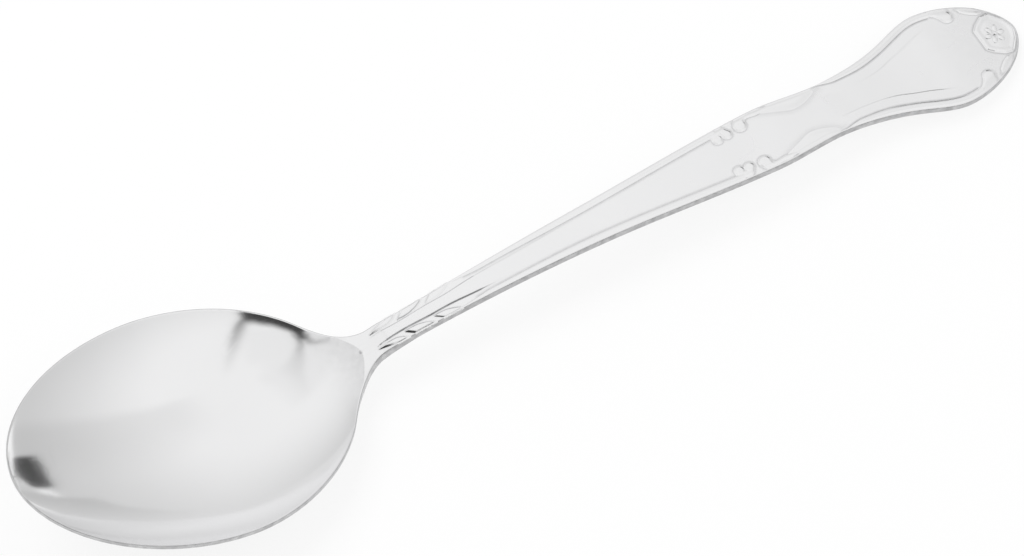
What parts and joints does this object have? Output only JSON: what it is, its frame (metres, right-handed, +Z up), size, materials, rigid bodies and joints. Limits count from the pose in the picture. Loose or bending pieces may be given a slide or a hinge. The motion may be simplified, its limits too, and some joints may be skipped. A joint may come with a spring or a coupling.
{
  "type": "table spoon",
  "caption": "Table spoon with a broad oval bowl and an arched handle that widens to a pointed end, edged with raised beads, scrolls and leaves.",
  "frame": {"origin": "centre of the spoon's box, on the table that it lies on", "axes": "+X along the spoon from the bowl's tip to the handle's tip, +Z up out of the bowl"},
  "size_m": [0.18, 0.0412, 0.0194],
  "materials": {
    "polished_steel": "polished stainless steel",
    "relief_steel": "polished stainless steel with duller hollows"
  },
  "bodies": {
    "root": {"bowl": "polished_steel", "neck": "polished_steel", "stem": "polished_steel", "handle_end": "polished_steel", "neck_leaves": "relief_steel", "stem_borders": "relief_steel", "waist_scrolls": "relief_steel", "waist_leaves": "relief_steel", "end_borders": "relief_steel", "end_scrolls": "relief_steel", "tip_leaves": "relief_steel", "medallion": "relief_steel", "rosette": "relief_steel"}
  },
  "joints": []
}
